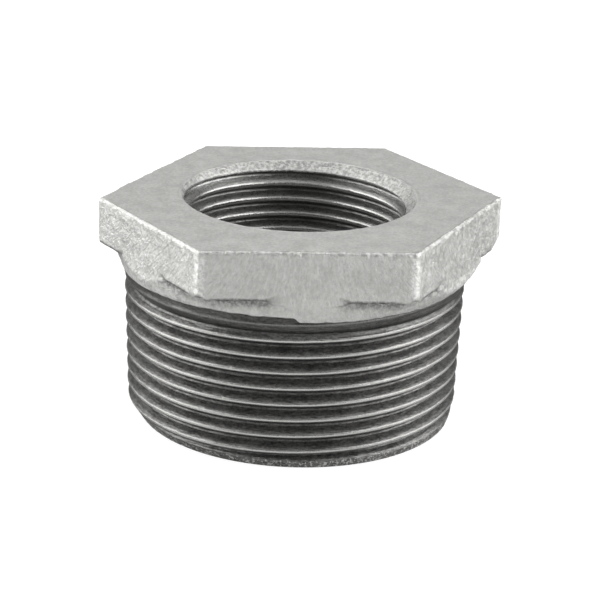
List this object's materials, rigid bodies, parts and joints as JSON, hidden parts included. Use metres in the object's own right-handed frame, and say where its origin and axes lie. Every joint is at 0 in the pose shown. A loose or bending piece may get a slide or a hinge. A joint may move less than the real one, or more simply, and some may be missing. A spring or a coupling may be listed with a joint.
{
  "type": "hexagon reducing bush",
  "caption": "Hexagon-head reducing bush in galvanised malleable iron: tapered outside pipe thread under a wrench head, smaller parallel inside pipe thread through its centre.",
  "frame": {"origin": "centre of the flat end face at the small, threaded end", "axes": "+Z along the pipe axis from the threaded end to the hexagon head; two corners of the hexagon lie on the X axis, so two of its flats face +Y and -Y"},
  "size_m": [0.0574, 0.05, 0.0316],
  "materials": {
    "galvanised_iron": "hot-dip galvanised casting with a machined top face; threads cut afterwards, so they are bare dark iron"
  },
  "bodies": {
    "root": {"reducing_bush": "galvanised_iron"}
  },
  "joints": []
}
